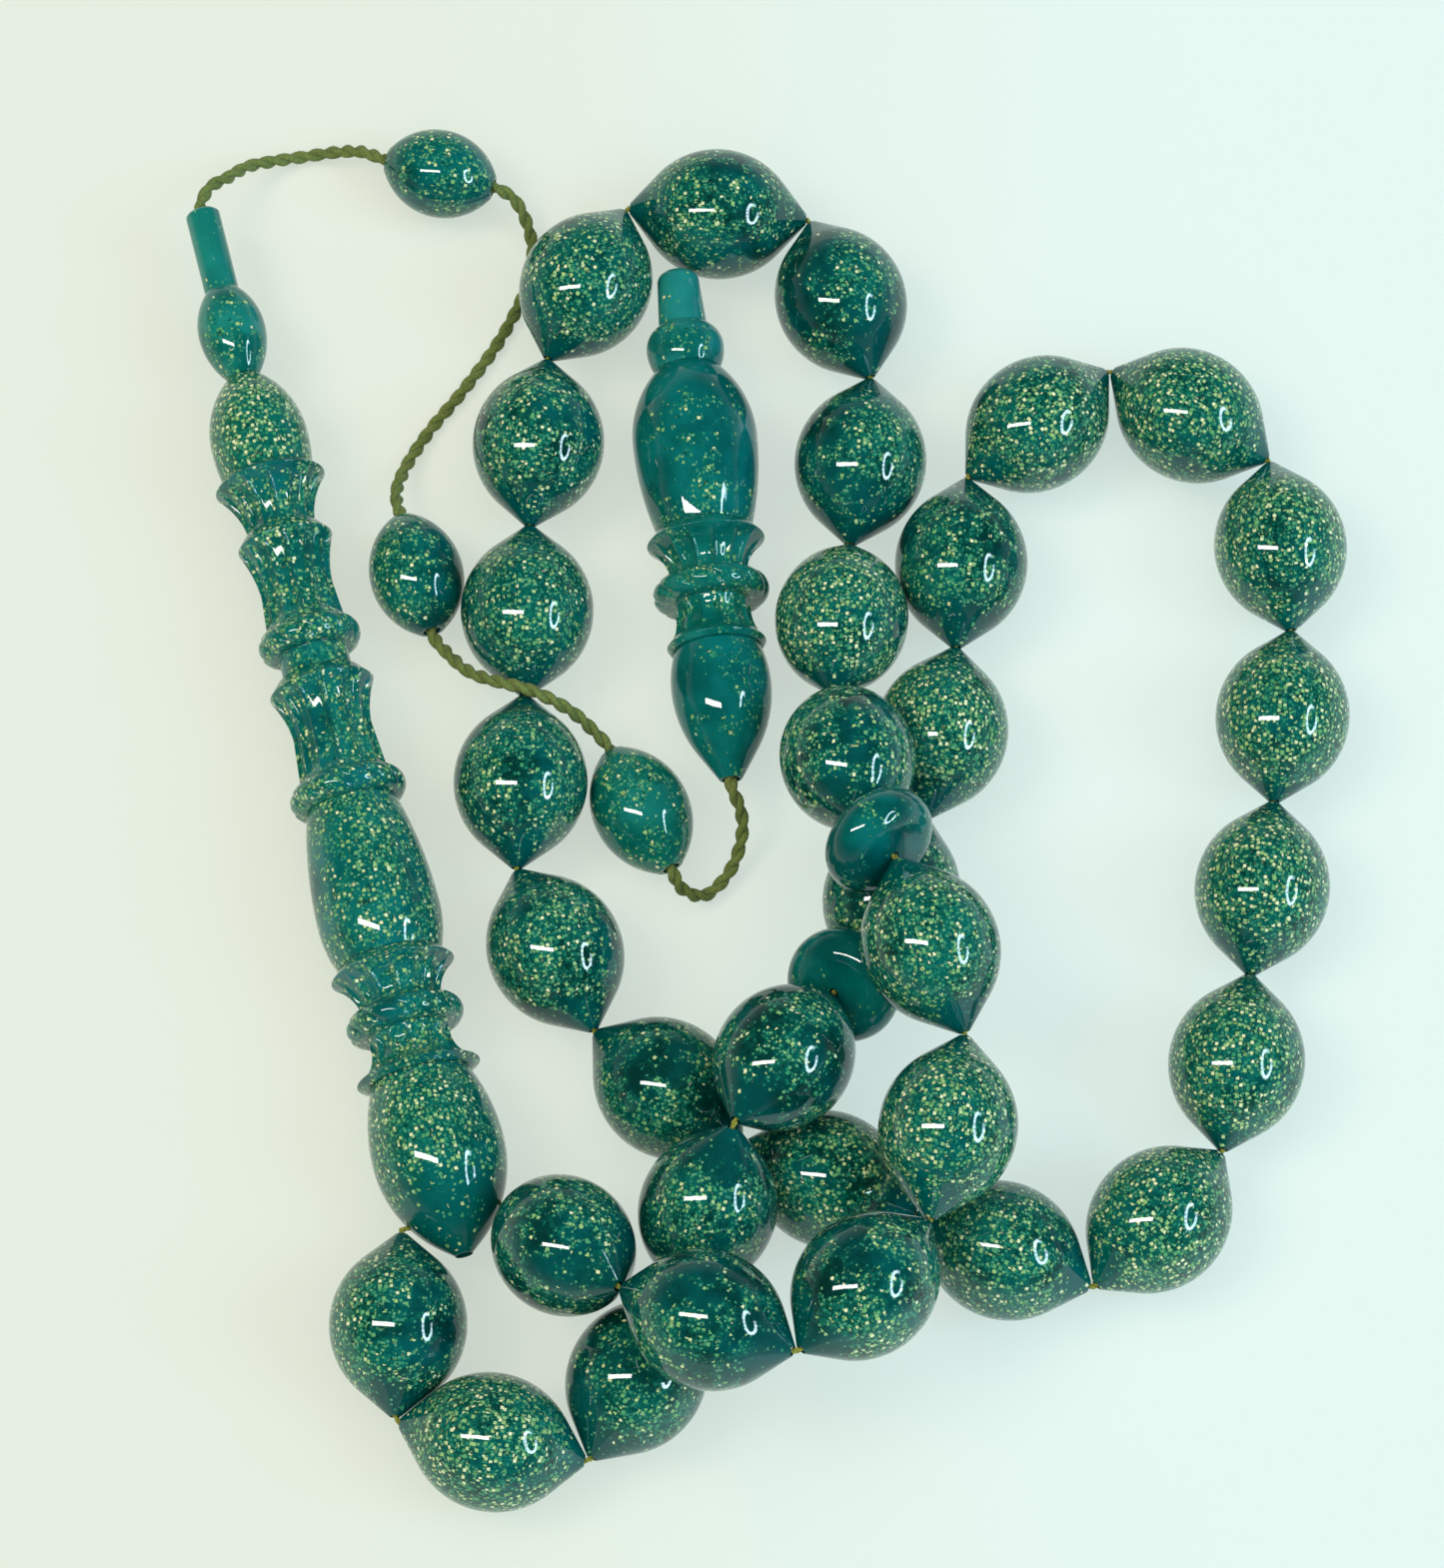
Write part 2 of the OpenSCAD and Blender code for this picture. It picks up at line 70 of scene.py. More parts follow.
SMALL_BEADS = {
    "small_bead_1": dict(size=(10.1, 8.0), centre=(-29.2, 60.4, 4.0), heading=-16, cone=55),
    "small_bead_2": dict(size=(11.2, 8.4), centre=(-30.7, 21.0, 4.2), heading=-75, cone=55),
    "small_bead_3": dict(size=(12.0, 8.6), centre=(-10.6, -1.3, 4.3), heading=-64, cone=50),
}
SMALL_TIP_RADIUS = 1.1


def compass(degrees):
    a = math.radians(degrees)
    return np.array([math.cos(a), math.sin(a), 0.0])


def on_axis(start, heading, at, sideways=0.0):
    return np.array(start, float) + at * compass(heading) + sideways * compass(heading + 90)


HEAD_START = on_axis((*FOOT_HOLE, HEAD_HEIGHT), HEAD_HEADING, -FOOT_HOLE_AT)


def on_head(at, sideways=0.0):
    return on_axis(HEAD_START, HEAD_HEADING, at, sideways)


def on_pendant(at):
    return on_axis(PENDANT_START, PENDANT_HEADING, at)


# ---- Camera -------------------------------------------------------------------------------------

TILT = math.radians(19.8)
TO_CAMERA = Vector((0, -math.sin(TILT), math.cos(TILT)))
CAMERA_UP = Vector((0, math.cos(TILT), math.sin(TILT)))
AIM = Vector((-3.5, 2.7, 0)) * MM
CAMERA_DISTANCE = 0.564
LENS = 145.97

camera = bpy.data.objects.new("camera", bpy.data.cameras.new("camera"))
camera.data.sensor_width = 36
camera.data.lens = LENS
camera.data.clip_start = 0.01
camera.location = AIM + CAMERA_DISTANCE * TO_CAMERA
camera.rotation_euler = (TILT, 0, 0)
SCENE.collection.objects.link(camera)
SCENE.camera = camera

# ---- Thread routes ------------------------------------------------------------------------------


def smooth_curve(points, step):
    """Centripetal Catmull-Rom curve through the points, sampled evenly."""
    p = np.array(points, float)
    p = np.vstack([2 * p[0] - p[1], p, 2 * p[-1] - p[-2]])
    out = []
    for i in range(1, len(p) - 2):
        a, b, c, d = p[i - 1:i + 3]
        t0 = 0
        t1 = t0 + math.sqrt(np.linalg.norm(b - a))
        t2 = t1 + math.sqrt(np.linalg.norm(c - b))
        t3 = t2 + math.sqrt(np.linalg.norm(d - c))
        for t in np.linspace(t1, t2, 25)[:-1]:
            ab = ((t1 - t) * a + (t - t0) * b) / (t1 - t0)
            bc = ((t2 - t) * b + (t - t1) * c) / (t2 - t1)
            cd = ((t3 - t) * c + (t - t2) * d) / (t3 - t2)
            abc = ((t2 - t) * ab + (t - t0) * bc) / (t2 - t0)
            bcd = ((t3 - t) * bc + (t - t1) * cd) / (t3 - t1)
            out.append(((t2 - t) * abc + (t - t1) * bcd) / (t2 - t1))
    out.append(p[-2])
    return resample(np.array(out), step)


def resample(points, step):
    gaps = np.linalg.norm(np.diff(points, axis=0), axis=1)
    along = np.concatenate([[0], np.cumsum(gaps)])
    count = max(2, int(round(along[-1] / step)) + 1)
    wanted = np.linspace(0, along[-1], count)
    return np.column_stack([np.interp(wanted, along, points[:, k]) for k in range(3)])


def through_small_bead(name, margin=0.5, straight=1.2):
    """The cord's points through a small bead: straight inside and for a margin at both ends."""
    bead = SMALL_BEADS[name]
    half = bead["size"][0] / 2
    centre = np.array(bead["centre"])
    way = compass(bead["heading"])
    return [centre + at * way for at in
            (-half - margin, -half + straight, half - straight, half + margin)]


CENTRE = {j["child"]: np.array(j["pos_m"]) / MM for j in frame["joints"]}
AXIS = {j["child"]: np.array(j["axis"], float) for j in frame["joints"]}
CHAIN = ([f"bead_{n:02d}" for n in range(1, 6)] + ["disc_1"]
         + [f"bead_{n:02d}" for n in range(6, 29)] + ["disc_2"]
         + [f"bead_{n:02d}" for n in range(29, 34)])


def half_length(name):
    return (DISC_THICKNESS if name.startswith("disc_") else BEAD_LENGTH) / 2


def end_of(name, side):
    return CENTRE[name] + side * half_length(name) * AXIS[name]


# Where the cord crosses the loop: this high over the string between two of its beads.
CROSSING_HEIGHT = 2
LOOP_CROSSING = ((end_of("bead_20", 1) + end_of("bead_21", -1)) / 2
                 + np.array([0, 0, CROSSING_HEIGHT]))

CORD_POINTS = [
    on_head(STRAND_END_AT), on_head(HEAD_LENGTH - 0.6), on_head(HEAD_LENGTH + 0.6),
    (-50, 58.4, 5.4), (-48.7, 59.6, 4.6), (-46.8, 61.6, 3), (-44.5, 62.7, 1.8),
    (-42, 63.5, 1), (-39, 63.7, 1.6), (-36.5, 63.1, 3),
    *through_small_bead("small_bead_1"),
    (-22.4, 58.2, 3), (-21.3, 56.4, 1.8), (-20.8, 54.2, 1), (-21, 51.7, 0.8),
    (-22, 48.7, 0.8), (-24, 44.7, 0.8), (-27, 40.2, 0.8), (-30, 36.2, 0.8),
    (-32.1, 32.1, 1.7), (-32.7, 29.3, 3),
    *through_small_bead("small_bead_2"),
    (-27.9, 13.3, 5), (-25.8, 11, 6.2), (-23.2, 9.6, 7.4),
    LOOP_CROSSING,
    (-18.6, 7.9, 7.6), (-16.4, 6.9, 6.4), (-14.8, 5.8, 5.1),
    *through_small_bead("small_bead_3"),
    (-7.4, -7.9, 3.5), (-6.3, -8.4, 2.4), (-5.1, -8.3, 1.5), (-3.8, -7.3, 1.4),
    (-2.6, -5.7, 1.8), (-1.9, -3.9, 2.6), (-1.7, -2.2, 3.8), (-2.1, -0.8, 4.9),
    on_pendant(-1), on_pendant(1), on_pendant(14), on_pendant(28), on_pendant(KNOT_AT),
]


def frames_along(points):
    """Tangent and two cross directions at each point, turning as little as possible."""
    way = np.gradient(points, axis=0)
    way /= np.linalg.norm(way, axis=1)[:, None]
    across = np.cross(way[0], [0, 0, 1])
    across /= np.linalg.norm(across)
    sides = []
    for w in way:
        across = across - np.dot(across, w) * w
        across /= np.linalg.norm(across)
        sides.append(across.copy())
    sides = np.array(sides)
    return way, sides, np.cross(way, sides)


def add_mesh(name, vertices, faces, material):
    """Mesh object from vertices in millimetres."""
    mesh = bpy.data.meshes.new(name)
    mesh.from_pydata([tuple(v * MM) for v in np.asarray(vertices, float)], [], faces)
    bm = bmesh.new()
    bm.from_mesh(mesh)
    bmesh.ops.recalc_face_normals(bm, faces=bm.faces)
    bm.to_mesh(mesh)
    bm.free()
    mesh.materials.append(material)
    mesh.shade_smooth()
    obj = bpy.data.objects.new(name, mesh)
    SCENE.collection.objects.link(obj)
    return obj


# A ply's radius as a share of the thread's diameter, and how deep and how steep its strands are
PLY_SHARE = 0.29
STRAND_DEPTH = 0.09
STRAND_TURNS = 3


def twisted_thread(name, points, diameter, pitch, material, sides=14, ridges=4):
    """Two plies twisted round each other along the points, each with its own fine strands."""
    points = np.asarray(points)
    along = np.concatenate([[0], np.cumsum(np.linalg.norm(np.diff(points, axis=0), axis=1))])
    way, across, up = frames_along(points)
    ply_radius = PLY_SHARE * diameter
    offset = diameter / 2 - ply_radius
    vertices, faces = [], []
    for ply in range(2):
        turn = 2 * math.pi * along / pitch + math.pi * ply
        out = np.cos(turn)[:, None] * across + np.sin(turn)[:, None] * up
        centre = points + offset * out
        tangent = np.gradient(centre, axis=0)
        tangent /= np.linalg.norm(tangent, axis=1)[:, None]
        beside = np.cross(tangent, out)
        beside /= np.linalg.norm(beside, axis=1)[:, None]
        first = len(vertices)
        for i in range(len(points)):
            for s in range(sides):
                a = 2 * math.pi * s / sides
                strand = 1 - STRAND_DEPTH * (
                    1 - abs(math.cos(ridges / 2 * a - STRAND_TURNS * turn[i])))
                vertices.append(centre[i] + ply_radius * strand
                                * (math.cos(a) * out[i] + math.sin(a) * beside[i]))
        for i in range(len(points) - 1):
            for s in range(sides):
                a = first + i * sides + s
                b = first + i * sides + (s + 1) % sides
                faces.append((a, b, b + sides, a + sides))
        faces.append(tuple(first + s for s in range(sides)))
        faces.append(tuple(first + (len(points) - 1) * sides + s for s in range(sides)))
    return add_mesh(name, vertices, faces, material)


# ---- Materials ----------------------------------------------------------------------------------


def linear(red, green, blue):
    """Colour from 0-255 screen values."""
    def one(c):
        c /= 255
        return c / 12.92 if c <= 0.04045 else ((c + 0.055) / 1.055) ** 2.4
    return (one(red), one(green), one(blue), 1)


class Nodes:
    """Short ways to add shader nodes."""

    def __init__(self, name):
        self.material = bpy.data.materials.new(name)
        self.material.use_nodes = True
        self.tree = self.material.node_tree
        self.shader = self.tree.nodes["Principled BSDF"]

    def put(self, socket, value):
        if isinstance(value, bpy.types.NodeSocket):
            self.tree.links.new(value, socket)
        else:
            socket.default_value = value

    def add(self, kind, inputs=None, **settings):
        node = self.tree.nodes.new(kind)
        for key, value in settings.items():
            setattr(node, key, value)
        for key, value in (inputs or {}).items():
            self.put(node.inputs[key], value)
        return node

    def math(self, operation, a, b=0.0, c=0.0):
        node = self.add("ShaderNodeMath", operation=operation)
        for socket, value in zip(node.inputs, (a, b, c)):
            self.put(socket, value)
        return node.outputs[0]

    def vector(self, operation, a, b=(0, 0, 0)):
        node = self.add("ShaderNodeVectorMath", operation=operation)
        self.put(node.inputs[0], a)
        self.put(node.inputs[1], b)
        return node.outputs[0]

    def scaled(self, vector, factor):
        node = self.add("ShaderNodeVectorMath", operation="SCALE")
        self.put(node.inputs[0], vector)
        self.put(node.inputs["Scale"], factor)
        return node.outputs[0]

    def ease(self, value, low, high):
        """0 below low, 1 above high (or the other way round when low is above high)."""
        node = self.add("ShaderNodeMapRange", interpolation_type="SMOOTHSTEP")
        flip = low > high
        for socket, v in zip(node.inputs, (value, min(low, high), max(low, high),
                                           1.0 if flip else 0.0, 0.0 if flip else 1.0)):
            self.put(socket, v)
        return node.outputs[0]

    def mix(self, factor, a, b):
        node = self.add("ShaderNodeMix", data_type="RGBA")
        self.put(node.inputs[0], factor)
        self.put(node.inputs[6], a)
        self.put(node.inputs[7], b)
        return node.outputs[2]

    def ramp(self, value, stops):
        node = self.add("ShaderNodeValToRGB")
        elements = node.color_ramp.elements
        while len(elements) < len(stops):
            elements.new(0.5)
        for element, (position, colour) in zip(elements, stops):
            element.position = position
            element.color = colour
        self.put(node.inputs[0], value)
        return node.outputs[0]

    def noise(self, vector, scale, detail=2.0, roughness=0.5):
        return self.add("ShaderNodeTexNoise", {
            "Vector": vector, "Scale": scale, "Detail": detail, "Roughness": roughness,
        }).outputs["Fac"]

    def cells(self, vector, scale, distance="EUCLIDEAN"):
        node = self.add("ShaderNodeTexVoronoi", {"Vector": vector, "Scale": scale},
                        distance=distance)
        tint = self.add("ShaderNodeSeparateColor", {"Color": node.outputs["Color"]})
        return node.outputs["Distance"], tint.outputs[0], tint.outputs[1]

    def place(self):
        """The piece's own coordinates in millimetres, and the same with a shift of its own."""
        own = self.scaled(self.add("ShaderNodeTexCoord").outputs["Object"], 1 / MM)
        chance = self.add("ShaderNodeObjectInfo").outputs["Random"]
        shift = self.scaled((97.0, 61.0, 43.0), chance)
        return own, self.vector("ADD", own, shift)


# Where a piece's flakes don't thin out: farther from its middle than any piece reaches
NO_PLAIN_ENDS = (90, 95)
EDGE_WANDER = 7.0


def resin(name, deep, clear, flecks, sparkle, plain, gold=0.5, middle_at=0.0):
    """Glossy resin full of flakes: a green haze of tiny ones, small green-gold ones, and
    bright pale ones with a dark outline. flecks, sparkle and gold are shares from 0 to 1. The
    flakes thin out between the two distances in plain from middle_at along the piece's axis."""
    plain_from, plain_to = plain
    n = Nodes(name)
    own, p = n.place()
    along = n.add("ShaderNodeSeparateXYZ", {"Vector": own}).outputs[2]
    along = n.math("ABSOLUTE", n.math("SUBTRACT", along, middle_at))
    edge = n.math("ADD", along, n.math("MULTIPLY", n.noise(p, 0.3, 2), EDGE_WANDER))
    middle = n.ease(edge, plain_to + EDGE_WANDER / 2, plain_from + EDGE_WANDER / 2)

    swirl = n.noise(n.vector("ADD", p, (5.0, 3.0, 9.0)), 0.16, 2, 0.5)
    body = n.mix(n.ease(n.noise(p, 0.25, 3), 0.35, 0.65), deep, clear)
    body = n.mix(n.math("MULTIPLY", n.math("SUBTRACT", 1.0, middle), 0.6), body, clear)

    low = 0.6 - 0.3 * flecks
    cloud = n.ease(n.math("ADD", n.math("MULTIPLY", swirl, 0.5),
                          n.math("MULTIPLY", n.noise(p, 0.8, 3, 0.65), 0.5)), low, low + 0.17)
    amount = n.math("MULTIPLY", cloud, n.math("ADD", n.math("MULTIPLY", middle, 0.88), 0.12))

    # A haze of flakes too small or too deep to tell apart
    haze = n.math("MULTIPLY", amount, n.ease(n.noise(p, 2.6, 2, 0.6), 0.3, 0.65))
    colour = n.mix(n.math("MULTIPLY", haze, 0.6), body, linear(20, 122, 102))

    def layer(colour, size, shift, share, radius, tints, metric="EUCLIDEAN", outline=0.0):
        """Flakes of one size: share of the cells that have one, and its radius in cells."""
        d, pick, hue = n.cells(n.vector("ADD", p, shift), 1 / size, metric)
        limit = n.math("SUBTRACT", 1.0, n.math("MULTIPLY", amount, share))
        chosen = n.math("GREATER_THAN", pick, limit)
        if outline:
            rim = n.math("MULTIPLY", chosen, n.ease(d, radius * 1.55, radius * 1.1))
            colour = n.mix(n.math("MULTIPLY", rim, outline), colour, linear(0, 42, 38))
        flake = n.math("MULTIPLY", chosen, n.ease(d, radius * 1.12, radius * 0.8))
        return n.mix(flake, colour, n.ramp(hue, tints)), flake

    colour, _ = layer(colour, size=0.3, shift=(13.0, 7.0, 5.0), share=1.0, radius=0.48, tints=[
        (0.0, linear(0, 92, 78)), (0.35, linear(26, 128, 104)), (0.75, linear(76, 158, 122)),
        (1.0, linear(130, 184, 128))])
    colour, _ = layer(
        colour, size=0.46, shift=(3.0, 27.0, 15.0), share=0.36 * gold + 0.16, radius=0.36, tints=[
            (0.0, linear(52, 150, 108)), (0.5, linear(110, 182, 120)),
            (1.0, linear(172, 212, 138))],
        metric="CHEBYCHEV", outline=0.55)
    colour, flake = layer(
        colour, size=0.52, shift=(31.0, 17.0, 23.0), share=0.85 * sparkle, radius=0.28, tints=[
            (0.0, linear(140, 200, 140)), (0.4, linear(196, 224, 164)),
            (1.0, linear(240, 252, 206))],
        metric="CHEBYCHEV", outline=0.75)

    shader = n.shader
    n.put(shader.inputs["Base Color"], colour)
    n.put(shader.inputs["Roughness"], n.math("SUBTRACT", 0.5, n.math("MULTIPLY", flake, 0.25)))
    shader.inputs["Specular IOR Level"].default_value = 0.0
    shader.inputs["Coat Weight"].default_value = 1
    shader.inputs["Coat Roughness"].default_value = 0.03
    shader.inputs["Coat IOR"].default_value = 1.55
    bump = n.add("ShaderNodeBump", {"Strength": 0.12, "Distance": 0.00005,
                                    "Height": n.noise(p, 0.8, 2)})
    n.put(shader.inputs["Coat Normal"], bump.outputs[0])
    return n.material


def thread(name, dark, light, fibre_length):
    """Twisted thread: fine fibres, darker and lighter streaks, no gloss."""
    n = Nodes(name)
    own, _ = n.place()
    fibres = n.noise(n.vector("MULTIPLY", own, (9.0, 9.0, 9.0)), 1.0, 4, 0.7)
    patches = n.noise(own, 1 / fibre_length, 2)
    colour = n.mix(n.ease(fibres, 0.35, 0.65), dark, light)
    colour = n.mix(n.math("MULTIPLY", n.ease(patches, 0.4, 0.7), 0.4), colour, dark)
    shader = n.shader
    n.put(shader.inputs["Base Color"], colour)
    n.put(shader.inputs["Roughness"], n.math("ADD", 0.7, n.math("MULTIPLY", fibres, 0.25)))
    shader.inputs["Specular IOR Level"].default_value = 0.2
    shader.inputs["Sheen Weight"].default_value = 0.15
    shader.inputs["Sheen Roughness"].default_value = 0.5
    bump = n.add("ShaderNodeBump", {"Strength": 0.6, "Distance": 0.00008, "Height": fibres})
    n.put(shader.inputs["Normal"], bump.outputs[0])
    return n.material


DEEP_TEAL, CLEAR_TEAL = linear(0, 50, 45), linear(0, 88, 88)
SPECKLED = resin("speckled_resin", DEEP_TEAL, CLEAR_TEAL, 0.8, 0.48, (4.0, 7.6))
BRIGHT = resin("bright_speckled_resin", DEEP_TEAL, CLEAR_TEAL, 0.92, 0.76, (4.8, 8.2), gold=0.9)
QUIET = resin("quiet_resin", linear(0, 54, 49), linear(0, 82, 82), 0.66, 0.32, (3.8, 7.2),
              gold=0.4)
SMALL = resin("small_bead_resin", linear(0, 68, 64), linear(0, 98, 98), 0.7, 0.3, (4.0, 6.5),
              gold=0.4)
LAST = resin("last_bead_resin", linear(0, 96, 88), linear(20, 124, 116), 0.72, 0.35,
             NO_PLAIN_ENDS, gold=0.4)
FOOT = resin("foot_resin", linear(0, 76, 70), linear(0, 96, 94), 0.85, 0.7, (4.0, 7.5),
             gold=0.7, middle_at=11.5)
TURNED = resin("turned_resin", linear(0, 84, 80), linear(8, 112, 112), 0.76, 0.5, NO_PLAIN_ENDS)
PALE = resin("pale_resin", linear(0, 92, 90), linear(6, 116, 114), 0.42, 0.14, NO_PLAIN_ENDS,
             gold=0.25)
DISC = resin("disc_resin", linear(0, 82, 80), linear(4, 112, 108), 0.34, 0.1, NO_PLAIN_ENDS,
             gold=0.2)
GLINTING = resin("glinting_resin", linear(0, 84, 70), linear(4, 108, 96), 1.0, 0.95,
                 NO_PLAIN_ENDS, gold=1.0)
FEW = resin("few_flecks_resin", linear(0, 100, 92), linear(18, 124, 116), 0.5, 0.22,
            NO_PLAIN_ENDS, gold=0.3)
FINIAL = resin("finial_resin", linear(0, 96, 88), linear(26, 136, 126), 0.5, 0.2, NO_PLAIN_ENDS,
               gold=0.3)
TIP = resin("tip_resin", linear(0, 96, 92), linear(34, 140, 136), 0.45, 0.2, (41, 45), gold=0.3)
CORD_THREAD = thread("cord_thread", linear(70, 92, 40), linear(138, 156, 84), 2.5)
STRING_THREAD = thread("string_thread", linear(110, 120, 40), linear(175, 180, 75), 2.5)

# ---- The tassel cord and the string -------------------------------------------------------------

CORD_STEP = 0.25
CORD_PITCH = 3.2
cord_line = smooth_curve(CORD_POINTS, CORD_STEP)
cord = twisted_thread("tassel_cord_twist", cord_line, CORD_DIAMETER, CORD_PITCH, CORD_THREAD)
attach(cord, "thread_and_head")
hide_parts("tassel_cord")

# The string's two strands lie side by side in the head piece and turn into the foot's cross hole
STRAND_OFFSET = STRING_DIAMETER / 2 + 0.02
TURN_START = 3 * STRAND_OFFSET
TURN_END_AT = FOOT_HOLE_AT + 1.2
FIRST_SLACK, LAST_SLACK = 0.4, 0.3
STRING_STEP = 0.3
STRING_PITCH = 1.6


def string_points():
    left = [on_head(STRAND_END_AT, STRAND_OFFSET), on_head(TURN_END_AT, STRAND_OFFSET),
            on_head(FOOT_HOLE_AT, TURN_START)]
    right = [on_head(FOOT_HOLE_AT, -TURN_START), on_head(TURN_END_AT, -STRAND_OFFSET),
             on_head(STRAND_END_AT, -STRAND_OFFSET)]
    middle = [end_of(CHAIN[0], -1) - FIRST_SLACK * AXIS[CHAIN[0]]]
    for name in CHAIN:
        middle += [end_of(name, -1), end_of(name, 1)]
    middle.append(end_of(CHAIN[-1], 1) + LAST_SLACK * AXIS[CHAIN[-1]])
    return np.array(left + middle + right)


string = twisted_thread("string_twist", resample(string_points(), STRING_STEP), STRING_DIAMETER,
                        STRING_PITCH, STRING_THREAD, sides=8, ridges=2)
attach(string, "thread_and_head")
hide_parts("string")
frame["nodes"]["pendant_knot"].data.materials.clear()
frame["nodes"]["pendant_knot"].data.materials.append(CORD_THREAD)

# ---- Turned pieces ------------------------------------------------------------------------------

# A profile is a list of (position along the axis, radius), from low to high.


def straight(start, end):
    return [start, end]


def bulging(widest, end, count=14):
    """Arc that is widest at one point, level there, and ends at another."""
    drop, inset = abs(end[0] - widest[0]), widest[1] - end[1]
    r = (drop ** 2 + inset ** 2) / (2 * inset)
    return [(at, widest[1] - r + math.sqrt(max(0, r ** 2 - (at - widest[0]) ** 2)))
            for at in np.linspace(min(widest[0], end[0]), max(widest[0], end[0]), count)]


def flaring(narrow, wide, count=14):
    """Arc that is narrowest at one point, level there, and flares out to another."""
    drop, out = abs(wide[0] - narrow[0]), wide[1] - narrow[1]
    r = (drop ** 2 + out ** 2) / (2 * out)
    return [(at, narrow[1] + r - math.sqrt(max(0, r ** 2 - (at - narrow[0]) ** 2)))
            for at in np.linspace(min(narrow[0], wide[0]), max(narrow[0], wide[0]), count)]


def olive(low, widest, high, count=22):
    return bulging(widest, low, count) + bulging(widest, high, count)


def ring(start, end, edge, greatest):
    return olive((start, edge), ((start + end) / 2, greatest), (end, edge), 10)


def pointed(length, radius, tip, cone, count=20):
    """Cone from a small tip that turns without an edge into a belly arc."""
    c = math.radians(cone)
    r = (length * math.tan(c) + tip - radius) / (1 / math.cos(c) - 1)
    tangent = length - r * math.sin(c)
    arc = [(at, radius - r + math.sqrt(r ** 2 - (length - at) ** 2))
           for at in np.linspace(tangent, length, count)]
    cone_part = [(at, tip + at * math.tan(c)) for at in np.linspace(0, tangent, 5)[:-1]]
    return cone_part + arc


def mirrored(profile, length):
    return profile + [(length - at, r) for at, r in reversed(profile[:-1])]


def softened(profile, radius=0.12, least_turn=18):
    """Rounds the profile's corners a little, as polishing does."""
    p = [profile[0]]
    for q in profile[1:]:
        if math.dist(q, p[-1]) > 1e-6:
            p.append(q)
    out = [p[0]]
    for before, corner, after in zip(p, p[1:], p[2:]):
        a, b = math.dist(before, corner), math.dist(corner, after)
        u = [(corner[k] - before[k]) / a for k in (0, 1)]
        v = [(after[k] - corner[k]) / b for k in (0, 1)]
        turn = math.degrees(math.acos(max(-1, min(1, u[0] * v[0] + u[1] * v[1]))))
        if turn < least_turn:
            out.append(corner)
            continue
        back, on = min(radius, a / 2.2), min(radius, b / 2.2)
        start = [corner[k] - back * u[k] for k in (0, 1)]
        end = [corner[k] + on * v[k] for k in (0, 1)]
        for t in (0, 0.25, 0.5, 0.75, 1):
            out.append(tuple((1 - t) ** 2 * start[k] + 2 * t * (1 - t) * corner[k] + t * t * end[k]
                             for k in (0, 1)))
    out.append(p[-1])
    return out


def smooth_step(x):
    x = min(1, max(0, x))
    return x * x * (3 - 2 * x)


FLUTES = 14
FLUTE_RUN_OUT = 0.9
FLUTE_SQUARENESS = 6
TWISTS = 11
TWIST_SLANT = 0.9
TWIST_NARROWNESS = 3


def carved(at, radius, angle, flutes, twists):
    """Radius with the shallow flutes and the rope grooves cut in. Both are given as stretches
    along the axis, each with the depth of its cuts."""
    for low, high, depth in flutes:
        if low < at < high:
            fade = (smooth_step((at - low) / FLUTE_RUN_OUT)
                    * smooth_step((high - at) / FLUTE_RUN_OUT))
            t = (angle * FLUTES / (2 * math.pi)) % 1
            radius -= depth * fade * (1 - (2 * t - 1) ** FLUTE_SQUARENESS)
    for low, high, depth in twists:
        if low < at < high:
            fade = math.sin(math.pi * (at - low) / (high - low)) ** 0.5
            t = (angle * TWISTS / (2 * math.pi) + TWIST_SLANT * (at - low) / (high - low)) % 1
            radius -= depth * fade * (1 - math.sin(math.pi * t)) ** TWIST_NARROWNESS
    return radius


SEGMENTS = 72
FINE_SEGMENTS = 96
FLUTED_SEGMENTS = FLUTES * 12
SHARP_DEGREES = 40


def turned(node, profile, bore, start, way, material, body,
           flutes=(), twists=(), segments=SEGMENTS):
    """Solid of revolution along a direction that stands for a CAD node, drilled through, with
    its flutes and grooves. A bore of 0 closes the ends."""
    profile = softened([(profile[0][0], bore)] + profile + [(profile[-1][0], bore)])
    angles = [2 * math.pi * s / segments for s in range(segments)]
    vertices, faces = [], []
    for at, uncut in profile:
        for a in angles:
            r = carved(at, uncut, a, flutes, twists)
            vertices.append((r * math.cos(a), r * math.sin(a), at))
    last = len(profile) - 1
    for i in range(last if bore == 0 else last + 1):
        upper = (i + 1) % (last + 1)
        for s in range(segments):
            t = (s + 1) % segments
            faces.append((i * segments + s, i * segments + t,
                          upper * segments + t, upper * segments + s))
    piece = add_mesh(node + "_resin", vertices, faces, material)
    bm = bmesh.new()
    bm.from_mesh(piece.data)
    bmesh.ops.remove_doubles(bm, verts=bm.verts, dist=1e-8)
    bmesh.ops.dissolve_degenerate(bm, edges=bm.edges, dist=1e-9)
    bmesh.ops.recalc_face_normals(bm, faces=bm.faces)
    bm.to_mesh(piece.data)
    bm.free()
    piece.data.shade_smooth()
    piece.data.set_sharp_from_angle(angle=math.radians(SHARP_DEGREES))
    turn = Vector((0, 0, 1)).rotation_difference(Vector(way)).to_matrix().to_4x4()
    piece.matrix_world = Matrix.Translation(Vector(start) * MM) @ turn
    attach(piece, body)
    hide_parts(node)


def centred(profile, length):
    return [(at - length / 2, r) for at, r in profile]


